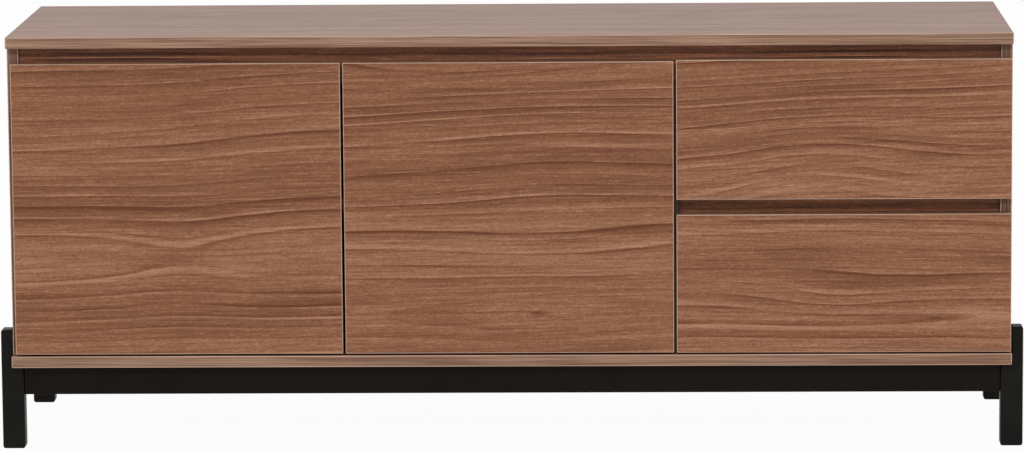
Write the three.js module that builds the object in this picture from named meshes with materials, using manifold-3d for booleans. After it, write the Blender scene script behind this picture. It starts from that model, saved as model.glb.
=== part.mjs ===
// Office credenza: a walnut-faced cabinet with two doors and two drawers on a black leg frame.
// Millimetres. X runs to the right, Y to the back and Z up. The origin is the middle of the
// footprint, on the floor. Doors and drawers are shut, and their faces lie in the front plane.

import * as THREE from 'three';
import { mergeVertices } from 'three/addons/utils/BufferGeometryUtils.js';
import Module from 'manifold-3d';

// Cabinet boards
const carcassWidth = 1562;
const carcassDepth = 480;
const overallHeight = 652;
const boardThickness = 18;
const backThickness = 5;
const doorBayWidth = 1010;
const seatGap = 0.2; // between two boards that bear on each other

// Door and drawer fronts
const frontThickness = 18;
const frontStandOff = 3; // from the back of a front to the board edges behind it
const leftReveal = 7;
const rightReveal = 1.5;
const doorGap = 4;
const doorToDrawerGap = 4.2;
const doorOverlayOnDivider = 8.5;
const doorTopGap = 24;
const doorBottomGap = 3.2;
const drawerTopGap = 22;
const drawerBottomGap = 2.8;
const drawerFingerGap = 23.4;
const upperFrontHeight = 218.5;

// Rails that close the finger gaps from behind
const topRailHeight = 60;
const topRailSetback = 8;
const drawerRailHeight = 50;
const drawerRailSetback = 18;

// Shelf in the door bay, on four pins in drilled rows
const shelfRise = 222; // from the bottom panel to the underside of the shelf
const shelfSetback = 25;
const shelfRearGap = 2;
const shelfSideGap = 1;
const shelfPinDiameter = 5;
const shelfPinReach = 8;
const shelfPinHoleDepth = 9;
const shelfPinSetback = 50; // from the shelf's front and back edges
const shelfPinPitch = 32;
const shelfPinRows = [-1, 0, 1];
const shelfPinGap = 0.15;

// Legs, lapped half outside the cabinet sides, and the rails between them
const baseClearance = 132; // from the floor to the bottom panel
const legWidth = 35;
const legDepth = 30;
const legOverhang = 19;
const legSetback = 22;
const tongueRise = 57; // how far a leg's outer half climbs the cabinet side
const legRounding = 3.5; // corners seen from the front
const legArris = 2.5; // edges around the front and rear faces
const legRoundingSteps = 3;
const baseRailHeight = 46;
const baseRailThickness = 15;
const baseRailSetback = 3;

// Concealed hinges: a cup let into the door, turning on a hooked arm fixed to the cabinet
const hingeFromDoorEnd = 80;
const hingeLevels = ['lower', 'upper'];
const pivotInset = 8; // from the door's hinged edge
const pivotDepth = 7.2; // from the door's face
const hingeGap = 0.3;
const cupDiameter = 35;
const cupEdge = 3.5; // wood left between the cup and the door's hinged edge
const cupBoreDepth = 13.5;
const cupGap = 0.15;
const cupWall = 0.9;
const cupFloor = 0.65;
const cupSides = 32;
const flangeDiameter = 40;
const flangeThickness = 1;
const wingLength = 62;
const wingWidth = 14;
const strapThickness = 2.4;
const strapWidth = 10;
const knuckleDiameter = 3.2;
const knuckleSides = 16;
const hingePinDiameter = 2;
const hingePinGap = 0.1;
const earGap = 0.4;
const earThickness = 2.4;
const earMargin = 1.4; // ear left around the hole for the pin
const armSetback = 3; // from the front edge of the board that carries the arm
const armLength = 58;
const armTailLength = 14;
const armTailHeight = 3;
const plateThickness = 4;
const plateLength = 44;
const plateWidth = 12;
const plateScrewLine = 37; // from the front edge of the board to the plate's wings
const plateWingLength = 48;
const plateWingWidth = 14;

// Drawer boxes
const boxHeight = 140;
const boxDepth = 400;
const boxSideThickness = 12;
const boxRise = 20.5; // from the foot of the drawer's front to the foot of its box
const boxBottomThickness = 5;
const grooveDepth = 6;
const grooveRise = 10;
const grooveGap = 0.3;

// Three-part runners beside the drawer boxes
const runnerLength = 400;
const runnerHeight = 45;
const runnerThickness = 12.7;
const runnerSheet = 1.2;
const runnerGap = 0.5;
const runnerSetback = 2;

// Finishes
const walnut = { color: '#8a5f48', roughness: 0.45, metalness: 0 };
const railWalnut = { color: '#6b4431', roughness: 0.5, metalness: 0 };
const blackLacquer = { color: '#1d1a18', roughness: 0.4, metalness: 0 };
const paleBoard = { color: '#c9c4ba', roughness: 0.6, metalness: 0 };
const nickel = { color: '#b9b7b2', roughness: 0.3, metalness: 1 };
const zincSteel = { color: '#a9adb0', roughness: 0.35, metalness: 1 };

// Levels and planes that follow from those sizes
const frontY = -carcassDepth / 2;
const rearY = carcassDepth / 2;
const sideX = carcassWidth / 2;
const bottomUnder = baseClearance;
const bottomTop = baseClearance + boardThickness;
const topUnder = overallHeight - boardThickness;
const boardFrontY = frontY + frontThickness + frontStandOff;
const boardRearY = rearY - backThickness - seatGap;
const leftInnerX = -sideX + boardThickness;
const rightInnerX = sideX - boardThickness;
const dividerLeftX = leftInnerX + doorBayWidth;
const dividerRightX = dividerLeftX + boardThickness;
const boardFoot = bottomTop + seatGap;
const boardHead = topUnder - seatGap;

const doorsLeftX = -sideX + leftReveal;
const doorsRightX = dividerLeftX + doorOverlayOnDivider;
const doorWidth = (doorsRightX - doorsLeftX - doorGap) / 2;
const doorFoot = bottomTop + doorBottomGap;
const doorHead = topUnder - doorTopGap;
const doorOverlayOnSide = boardThickness - leftReveal;

const drawersLeftX = doorsRightX + doorToDrawerGap;
const drawersRightX = sideX - rightReveal;
const upperFrontHead = topUnder - drawerTopGap;
const upperFrontFoot = upperFrontHead - upperFrontHeight;
const lowerFrontHead = upperFrontFoot - drawerFingerGap;
const lowerFrontFoot = bottomTop + drawerBottomGap;

const topRailFaceY = boardFrontY + topRailSetback;
const topRailBackY = topRailFaceY + boardThickness;
const topRailFoot = topUnder - topRailHeight;
const drawerRailMiddle = (upperFrontFoot + lowerFrontHead) / 2;
const drawerRailFaceY = boardFrontY + drawerRailSetback;

const wasm = await Module();
wasm.setup();

function named(name, geometry, finish) {
  const mesh = new THREE.Mesh(geometry, new THREE.MeshStandardMaterial(finish));
  mesh.name = name;
  return mesh;
}

// A square-edged block between two corners, given as low and high values along each axis
function block([x0, x1], [y0, y1], [z0, z1]) {
  const geometry = new THREE.BoxGeometry(x1 - x0, y1 - y0, z1 - z0);
  return geometry.translate((x0 + x1) / 2, (y0 + y1) / 2, (z0 + z1) / 2);
}

function board(name, finish, x, y, z) {
  return named(name, block(x, y, z), finish);
}

// A rod along one axis, from a start point
function rod(axis, [x, y, z], length, diameter, sides) {
  const geometry = new THREE.CylinderGeometry(diameter / 2, diameter / 2, length, sides);
  geometry.translate(0, length / 2, 0);
  if (axis === 'x') geometry.rotateZ(-Math.PI / 2);
  if (axis === 'z') geometry.rotateX(Math.PI / 2);
  return geometry.translate(x, y, z);
}

function outline(points) {
  return new THREE.Shape(points.map(([x, y]) => new THREE.Vector2(x, y)));
}

// A section drawn in X and Z, run along Y from startY
function alongY(shape, startY, length, options = {}) {
  const geometry = new THREE.ExtrudeGeometry(shape, { depth: length, bevelEnabled: false, ...options });
  geometry.rotateX(Math.PI / 2);
  return geometry.translate(0, startY + length, 0);
}

function solid(geometry) {
  const bare = geometry.clone();
  bare.deleteAttribute('normal');
  bare.deleteAttribute('uv');
  const merged = mergeVertices(bare);
  const vertProperties = new Float32Array(merged.attributes.position.array);
  const triVerts = new Uint32Array(merged.index.array);
  return new wasm.Manifold(new wasm.Mesh({ numProp: 3, vertProperties, triVerts }));
}

function surface(body) {
  const mesh = body.getMesh();
  const geometry = new THREE.BufferGeometry();
  geometry.setAttribute('position', new THREE.BufferAttribute(new Float32Array(mesh.vertProperties), 3));
  geometry.setIndex(new THREE.BufferAttribute(new Uint32Array(mesh.triVerts), 1));
  geometry.computeVertexNormals();
  return geometry;
}

function joined(first, ...others) {
  return surface(others.reduce((body, other) => body.add(solid(other)), solid(first)));
}

function drilled(blank, tools) {
  return surface(tools.reduce((body, tool) => body.subtract(solid(tool)), solid(blank)));
}

// Shelf position, and the rows of holes drilled for its pins
const shelfFoot = bottomTop + shelfRise;
const shelfFrontY = boardFrontY + shelfSetback;
const shelfRearY = boardRearY - shelfRearGap;
const shelfPinAxisZ = shelfFoot - seatGap - shelfPinDiameter / 2;
const shelfPinSides = 12;
const shelfPinColumns = { front: shelfFrontY + shelfPinSetback, rear: shelfRearY - shelfPinSetback };
const shelfPinHoleDiameter = shelfPinDiameter + 2 * shelfPinGap;

// faceX is the board face that is drilled, and inward is +1 where the bay lies to its right
function pinHoles(faceX, inward) {
  const startX = inward > 0 ? faceX - shelfPinHoleDepth : faceX - shelfPinReach;
  const length = shelfPinHoleDepth + shelfPinReach;
  const centres = Object.values(shelfPinColumns).flatMap((y) =>
    shelfPinRows.map((row) => [startX, y, shelfPinAxisZ + row * shelfPinPitch]));
  return centres.map((start) => rod('x', start, length, shelfPinHoleDiameter, shelfPinSides));
}

function shelfPin(name, faceX, inward, y) {
  const inHole = shelfPinHoleDepth - shelfPinGap;
  const startX = inward > 0 ? faceX - inHole : faceX - shelfPinReach;
  const start = [startX, y, shelfPinAxisZ];
  return named(name, rod('x', start, inHole + shelfPinReach, shelfPinDiameter, shelfPinSides), nickel);
}

function cabinet() {
  const group = new THREE.Group();
  const depth = [boardFrontY, boardRearY];
  const height = [boardFoot, boardHead];
  const leftSide = block([-sideX, leftInnerX], depth, height);
  const rightSide = [rightInnerX, sideX];

  // The divider's top front corner is notched for the finger rail that runs past it
  const divider = block([dividerLeftX, dividerRightX], depth, height);
  const notch = block(
    [dividerLeftX - boardThickness, dividerRightX + boardThickness],
    [boardFrontY - boardThickness, topRailBackY + seatGap],
    [topRailFoot - seatGap, topUnder + boardThickness],
  );

  const betweenSides = [leftInnerX + seatGap, rightInnerX - seatGap];
  const drawerBay = [dividerRightX + seatGap, rightInnerX - seatGap];
  const drawerRailHalf = drawerRailHeight / 2;
  const shelfSpan = [leftInnerX + shelfSideGap, dividerLeftX - shelfSideGap];
  group.add(
    board('top_panel', walnut, [-sideX, sideX], [frontY, rearY], [topUnder, overallHeight]),
    board('bottom_panel', walnut, [-sideX, sideX], [frontY, rearY], [bottomUnder, bottomTop]),
    named('left_side_panel', drilled(leftSide, pinHoles(leftInnerX, 1)), walnut),
    board('right_side_panel', walnut, rightSide, depth, height),
    named('bay_divider', drilled(divider, [notch, ...pinHoles(dividerLeftX, -1)]), walnut),
    board('back_panel', walnut, [-sideX, sideX], [rearY - backThickness, rearY], height),
    board('top_finger_rail', railWalnut, betweenSides,
      [topRailFaceY, topRailBackY], [topRailFoot, boardHead]),
    board('drawer_finger_rail', railWalnut, drawerBay,
      [drawerRailFaceY, drawerRailFaceY + boardThickness],
      [drawerRailMiddle - drawerRailHalf, drawerRailMiddle + drawerRailHalf]),
    board('door_bay_shelf', walnut, shelfSpan, [shelfFrontY, shelfRearY],
      [shelfFoot, shelfFoot + boardThickness]),
  );
  for (const [column, y] of Object.entries(shelfPinColumns)) {
    group.add(shelfPin(`shelf_pin_${column}_left`, leftInnerX, 1, y));
    group.add(shelfPin(`shelf_pin_${column}_right`, dividerLeftX, -1, y));
  }
  return group;
}

// A leg's front view, with rounded outer corners. Its outer half climbs the cabinet side.
function legOutline(side) {
  const outer = sideX + legOverhang;
  const inner = outer - legWidth;
  const lapX = sideX + seatGap;
  const lapZ = bottomUnder - seatGap;
  const head = bottomUnder + tongueRise;
  const r = legRounding;
  const shape = new THREE.Shape();
  shape.moveTo(side * (inner + r), 0);
  shape.lineTo(side * (outer - r), 0);
  shape.quadraticCurveTo(side * outer, 0, side * outer, r);
  shape.lineTo(side * outer, head - r);
  shape.quadraticCurveTo(side * outer, head, side * (outer - r), head);
  shape.lineTo(side * (lapX + r), head);
  shape.quadraticCurveTo(side * lapX, head, side * lapX, head - r);
  shape.lineTo(side * lapX, lapZ);
  shape.lineTo(side * inner, lapZ);
  shape.lineTo(side * inner, r);
  shape.quadraticCurveTo(side * inner, 0, side * (inner + r), 0);
  return shape;
}

function leg(name, side, startY) {
  const rounded = {
    bevelEnabled: true,
    bevelSize: legArris,
    bevelThickness: legArris,
    bevelOffset: -legArris,
    bevelSegments: legRoundingSteps,
    curveSegments: legRoundingSteps,
  };
  const straight = legDepth - 2 * legArris;
  return named(name, alongY(legOutline(side), startY + legArris, straight, rounded), blackLacquer);
}

function base() {
  const group = new THREE.Group();
  const legFrontY = frontY + legSetback;
  const legRearY = rearY - legSetback;
  for (const [sideName, side] of [['left', -1], ['right', 1]]) {
    group.add(leg(`front_${sideName}_leg`, side, legFrontY));
    group.add(leg(`rear_${sideName}_leg`, side, legRearY - legDepth));
  }

  const legInnerX = sideX + legOverhang - legWidth;
  const betweenLegs = [-legInnerX + seatGap, legInnerX - seatGap];
  const along = [legFrontY + legDepth + seatGap, legRearY - legDepth - seatGap];
  const upright = [bottomUnder - seatGap - baseRailHeight, bottomUnder - seatGap];
  const frontFace = legFrontY + baseRailSetback;
  const rearFace = legRearY - baseRailSetback;
  const sideRail = [legInnerX, legInnerX + baseRailThickness];
  const crossRail = [frontFace + baseRailThickness + seatGap, rearFace - baseRailThickness - seatGap];
  const crossHalf = baseRailThickness / 2;
  group.add(
    board('base_front_rail', blackLacquer, betweenLegs, [frontFace, frontFace + baseRailThickness], upright),
    board('base_rear_rail', blackLacquer, betweenLegs, [rearFace - baseRailThickness, rearFace], upright),
    board('base_left_rail', blackLacquer, [-sideRail[1], -sideRail[0]], along, upright),
    board('base_right_rail', blackLacquer, sideRail, along, upright),
    board('base_cross_rail', blackLacquer, [-crossHalf, crossHalf], crossRail, upright),
  );
  return group;
}

// Hinges are drawn from the door's hinged edge: u runs across the door from that edge, and v runs
// back from the door's face. hand is +1 where the door reaches to the right of its hinged edge.
const cupCentreU = cupEdge + cupDiameter / 2;
const cupBoreV = frontThickness - cupBoreDepth;
const cupOuterDiameter = cupDiameter - 2 * cupGap;
const cupInnerDiameter = cupOuterDiameter - 2 * cupWall;
const cupFloorV = cupBoreV + cupGap + cupFloor;
const flangeV = frontThickness + cupGap;
const flangeBackV = flangeV + flangeThickness;
const neckU = pivotInset + flangeBackV - pivotDepth + hingeGap + strapThickness / 2;
const earNear = strapWidth / 2 + earGap;
const earFar = earNear + earThickness;

function cupBore(edgeX, hand, z) {
  const past = frontThickness - cupBoreV + boardThickness;
  return rod('y', [edgeX + hand * cupCentreU, frontY + cupBoreV, z], past, cupDiameter, cupSides);
}

// A span across the door, turned into low and high X
function across(edgeX, hand, u0, u1) {
  return [edgeX + hand * u0, edgeX + hand * u1].sort((a, b) => a - b);
}

function hingeCup(name, edgeX, hand, z) {
  const centreX = edgeX + hand * cupCentreU;
  const wallStart = [centreX, frontY + cupBoreV + cupGap, z];
  const wallLength = flangeBackV - cupBoreV - cupGap;
  const outer = solid(rod('y', wallStart, wallLength, cupOuterDiameter, cupSides));
  const flange = solid(rod('y', [centreX, frontY + flangeV, z], flangeThickness, flangeDiameter, cupSides));
  const wing = solid(block(
    [centreX - wingWidth / 2, centreX + wingWidth / 2],
    [frontY + flangeV, frontY + flangeBackV],
    [z - wingLength / 2, z + wingLength / 2],
  ));
  const hollowStart = [centreX, frontY + cupFloorV, z];
  const hollow = solid(rod('y', hollowStart, cupDiameter, cupInnerDiameter, cupSides));

  // Two ears stand on the cup's floor and hold the ends of the arm's pin
  const earReach = hingePinDiameter / 2 + earMargin;
  const earU = across(edgeX, hand, pivotInset - earReach, pivotInset + earReach);
  const earV = [frontY + cupBoreV + cupGap, frontY + pivotDepth + earReach];
  const ears = [[z - earFar, z - earNear], [z + earNear, z + earFar]]
    .map((span) => solid(block(earU, earV, span)).intersect(outer));
  const pinStart = [edgeX + hand * pivotInset, frontY + pivotDepth, z - cupDiameter / 2];
  const pinHole = rod('z', pinStart, cupDiameter, hingePinDiameter + 2 * hingePinGap, knuckleSides);
  const eared = ears.map((ear) => ear.subtract(solid(pinHole)));

  const shell = outer.add(flange).add(wing).subtract(hollow);
  return named(name, surface(eared.reduce((body, ear) => body.add(ear), shell)), nickel);
}

// The arm's strap hooks into the cup, so that the open door clears its neck. seatU is where the
// arm lies on its plate.
function hingeArm(name, edgeX, hand, z, seatU) {
  const half = strapThickness / 2;
  const bodyV = frontThickness + frontStandOff + armSetback;
  const endV = bodyV + armLength;
  const points = [
    [pivotInset, pivotDepth - half],
    [neckU + half, pivotDepth - half],
    [neckU + half, endV - armTailLength],
    [seatU + armTailHeight, endV],
    [seatU, endV],
    [seatU, bodyV],
    [neckU - half, bodyV],
    [neckU - half, pivotDepth + half],
    [pivotInset, pivotDepth + half],
  ].map(([u, v]) => [edgeX + hand * u, frontY + v]);
  const strap = new THREE.ExtrudeGeometry(outline(points), { depth: strapWidth, bevelEnabled: false });
  strap.translate(0, 0, z - strapWidth / 2);

  const pivotX = edgeX + hand * pivotInset;
  const pivotY = frontY + pivotDepth;
  const pinHalf = earFar - earGap;
  const knuckle = rod('z', [pivotX, pivotY, z - strapWidth / 2], strapWidth, knuckleDiameter, knuckleSides);
  const pin = rod('z', [pivotX, pivotY, z - pinHalf], 2 * pinHalf, hingePinDiameter, knuckleSides);
  return named(name, joined(strap, knuckle, pin), nickel);
}

// The cross-shaped plate that is screwed to the board beside the door
function hingePlate(name, edgeX, hand, z, overlay) {
  const startV = frontThickness + frontStandOff + armSetback;
  const wingV = frontThickness + frontStandOff + plateScrewLine;
  const x = across(edgeX, hand, overlay + seatGap, overlay + plateThickness);
  const stem = block(x, [frontY + startV, frontY + startV + plateLength],
    [z - plateWidth / 2, z + plateWidth / 2]);
  const wings = block(x, [frontY + wingV - plateWingWidth / 2, frontY + wingV + plateWingWidth / 2],
    [z - plateWingLength / 2, z + plateWingLength / 2]);
  return named(name, joined(stem, wings), nickel);
}

function door(name, edgeX, hand, overlay) {
  const group = new THREE.Group();
  const levels = { lower: doorFoot + hingeFromDoorEnd, upper: doorHead - hingeFromDoorEnd };
  const doorX = across(edgeX, hand, 0, doorWidth);
  const blank = block(doorX, [frontY, frontY + frontThickness], [doorFoot, doorHead]);
  const bores = hingeLevels.map((level) => cupBore(edgeX, hand, levels[level]));
  group.add(named(name, drilled(blank, bores), walnut));
  for (const level of hingeLevels) {
    const z = levels[level];
    const seatU = overlay + plateThickness + seatGap;
    group.add(hingeCup(`${name}_${level}_hinge_cup`, edgeX, hand, z));
    group.add(hingeArm(`${name}_${level}_hinge_arm`, edgeX, hand, z, seatU));
    group.add(hingePlate(`${name}_${level}_hinge_plate`, edgeX, hand, z, overlay));
  }
  return group;
}

// Channel sections of a runner, drawn from the cabinet wall towards the drawer. Each part nests
// inside the one before it with a running gap.
const runnerStep = runnerSheet + runnerGap;
const runnerBoxGap = runnerThickness + 2 * seatGap;

function channel(backS, lipS, halfHeight) {
  const inward = Math.sign(lipS - backS);
  const web = backS + inward * runnerSheet;
  const flange = halfHeight - runnerSheet;
  return [
    [backS, -halfHeight], [lipS, -halfHeight], [lipS, -flange], [web, -flange],
    [web, flange], [lipS, flange], [lipS, halfHeight], [backS, halfHeight],
  ];
}

function runner(name, wallX, inward, z) {
  const half = runnerHeight / 2;
  const lip = runnerThickness - runnerStep;
  const sections = {
    outer: channel(0, lip, half),
    middle: channel(runnerStep, lip, half - runnerStep),
    inner: channel(runnerThickness, 2 * runnerStep, half - 2 * runnerStep),
  };
  return Object.entries(sections).map(([member, points]) => {
    const placed = points.map(([s, height]) => [wallX + inward * (seatGap + s), z + height]);
    const geometry = alongY(outline(placed), boardFrontY + runnerSetback, runnerLength);
    return named(`${name}_runner_${member}`, geometry, zincSteel);
  });
}

function drawer(name, frontFoot, frontHead) {
  const group = new THREE.Group();
  const foot = frontFoot + boxRise;
  const head = foot + boxHeight;
  const startY = frontY + frontThickness + seatGap;
  const leftX = dividerRightX + runnerBoxGap;
  const rightX = rightInnerX - runnerBoxGap;
  const grooveFoot = foot + grooveRise;
  const grooveHead = grooveFoot + boxBottomThickness + 2 * grooveGap;

  // A box side in section: a board with a groove on its inner face for the bottom
  function boxSide(sideName, outerX, inward) {
    const innerX = outerX + inward * boxSideThickness;
    const grooveX = innerX - inward * grooveDepth;
    const section = outline([
      [outerX, foot], [innerX, foot], [innerX, grooveFoot], [grooveX, grooveFoot],
      [grooveX, grooveHead], [innerX, grooveHead], [innerX, head], [outerX, head],
    ]);
    return named(`${name}_${sideName}_side`, alongY(section, startY, boxDepth), paleBoard);
  }

  const inLeftX = leftX + boxSideThickness;
  const inRightX = rightX - boxSideThickness;
  const bottomInset = grooveDepth - grooveGap;
  const bottomFoot = grooveFoot + grooveGap;
  const bottomHead = bottomFoot + boxBottomThickness;
  const endY = startY + boxDepth;
  group.add(
    board(`${name}_front`, walnut, [drawersLeftX, drawersRightX],
      [frontY, frontY + frontThickness], [frontFoot, frontHead]),
    boxSide('left', leftX, 1),
    boxSide('right', rightX, -1),
    board(`${name}_back`, paleBoard, [inLeftX + seatGap, inRightX - seatGap],
      [endY - boxSideThickness, endY], [bottomHead + seatGap, head]),
    board(`${name}_bottom`, paleBoard, [inLeftX - bottomInset, inRightX + bottomInset],
      [startY, endY], [bottomFoot, bottomHead]),
  );
  const runnerZ = foot + boxHeight / 2;
  group.add(...runner(`${name}_left`, dividerRightX, 1, runnerZ));
  group.add(...runner(`${name}_right`, rightInnerX, -1, runnerZ));
  return group;
}

const credenza = new THREE.Group();
credenza.add(
  cabinet(),
  base(),
  door('left_door', doorsLeftX, 1, doorOverlayOnSide),
  door('right_door', doorsRightX, -1, doorOverlayOnDivider),
  drawer('upper_drawer', upperFrontFoot, upperFrontHead),
  drawer('lower_drawer', lowerFrontFoot, lowerFrontHead),
);

export default credenza;
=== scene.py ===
import math
import bmesh
import bpy
from mathutils import Matrix, Vector


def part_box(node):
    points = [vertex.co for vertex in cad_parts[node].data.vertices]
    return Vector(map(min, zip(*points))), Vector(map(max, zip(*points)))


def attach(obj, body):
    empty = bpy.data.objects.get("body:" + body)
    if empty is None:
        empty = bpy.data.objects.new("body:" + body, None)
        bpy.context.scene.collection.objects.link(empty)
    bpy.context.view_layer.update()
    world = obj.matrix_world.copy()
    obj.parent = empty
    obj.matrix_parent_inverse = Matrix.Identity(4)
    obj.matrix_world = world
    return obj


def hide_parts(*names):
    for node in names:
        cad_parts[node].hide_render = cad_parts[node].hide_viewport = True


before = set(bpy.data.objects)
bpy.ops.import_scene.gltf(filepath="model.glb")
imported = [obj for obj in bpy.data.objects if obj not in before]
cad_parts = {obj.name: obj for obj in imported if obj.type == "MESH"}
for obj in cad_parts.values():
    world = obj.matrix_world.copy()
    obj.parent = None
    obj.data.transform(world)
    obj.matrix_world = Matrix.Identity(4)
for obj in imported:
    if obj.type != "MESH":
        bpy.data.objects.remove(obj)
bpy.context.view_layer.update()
mm = 0.001
quarterTurn = math.pi / 2
hair = mm / 10  # closer than this is the same place


# colours are picked as 0-255 values
def tint(red, green, blue):
    shares = [c / 255 for c in (red, green, blue)]
    return tuple(c / 12.92 if c <= 0.04045 else ((c + 0.055) / 1.055) ** 2.4 for c in shares) + (1.0,)


# node helpers: a value is either a socket to link or a constant
def plug(tree, socket, value):
    if isinstance(value, bpy.types.NodeSocket):
        tree.links.new(value, socket)
    else:
        socket.default_value = value


def put(tree, kind, inputs=(), **settings):
    node = tree.nodes.new("ShaderNode" + kind)
    for key, value in settings.items():
        setattr(node, key, value)
    for key, value in dict(inputs).items():
        plug(tree, node.inputs[key], value)
    return node


def calc(tree, operation, *values):
    node = put(tree, "Math", operation=operation)
    for socket, value in zip(node.inputs, values):
        plug(tree, socket, value)
    return node.outputs[0]


def spread(tree, value, low, high, toLow=0.0, toHigh=1.0):
    node = put(tree, "MapRange", interpolation_type="SMOOTHSTEP")
    for socket, item in zip(node.inputs, (value, low, high, toLow, toHigh)):
        plug(tree, socket, item)
    return node.outputs[0]


def mixColour(tree, share, first, second):
    node = put(tree, "Mix", data_type="RGBA")
    for index, value in ((0, share), (6, first), (7, second)):
        plug(tree, node.inputs[index], value)
    return node.outputs[2]


def cloud(tree, at, scale, seed, detail):
    sized = put(tree, "VectorMath", {0: at, 1: scale}, operation="MULTIPLY")
    noise = put(tree, "TexNoise", {"Vector": sized.outputs[0], "W": seed, "Scale": 1.0, "Detail": detail},
                noise_dimensions="4D")
    return noise.outputs[0]


def newGroup(name, inputs, outputs):
    group = bpy.data.node_groups.new(name, "ShaderNodeTree")
    for label, value in inputs.items():
        kind = {3: "Vector", 4: "Color"}[len(value)] if isinstance(value, tuple) else "Float"
        socket = group.interface.new_socket(label, in_out="INPUT", socket_type="NodeSocket" + kind)
        socket.default_value = value
    for label, kind in outputs.items():
        group.interface.new_socket(label, in_out="OUTPUT", socket_type="NodeSocket" + kind)
    return group, group.nodes.new("NodeGroupInput").outputs, group.nodes.new("NodeGroupOutput").inputs


def useGroup(tree, group, values):
    node = tree.nodes.new("ShaderNodeGroup")
    node.node_tree = group
    for key, value in values.items():
        plug(tree, node.inputs[key], value)
    return node.outputs


# flat-sawn walnut: rings round a heart line that runs along the board, X along the grain, Y across it.
# The rings crowd towards the heart at the pinch, which draws the arches there; a hill lifts the lines
# round one place, the knot is a small dark eye and the painted shade is a wide darker place painted
# where shade falls on a board; a negative amount of it paints light there instead.
walnutSpots = ("Hill 1", "Hill 2", "Hill 3", "Knot", "Shade")
# what the figure is made of; a cloud's scale is along the grain, across it and into the wood
grain = {
    "wave": (1.6, 4.5, 31.0),
    "swing": (3.2, 1.4, 29.0),
    "ripple": (6.5, 30.0, 60.0),
    "fade": (3.4, 50.0, 60.0),
    "fibre": (9.0, 380.0, 380.0),
    "patch": (1.9, 8.0, 30.0),
    "pores": (48.0, 1300.0, 1300.0),
    "flecks": (60.0, 700.0, 700.0),
    "speck": (300.0, 640.0, 640.0),
    "wideYears": 0.32,
    "fineCount": 3.1,  # fine lines to a year
    "fineLines": 0.28,
    "plainWood": 0.32,
    "bandShare": 0.42,
    "fibreShare": 0.74,
    "speckShare": 0.62,
    "patchShare": 0.20,
    "poreShare": 0.07,
    "fleckShare": -0.18,
}


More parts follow.
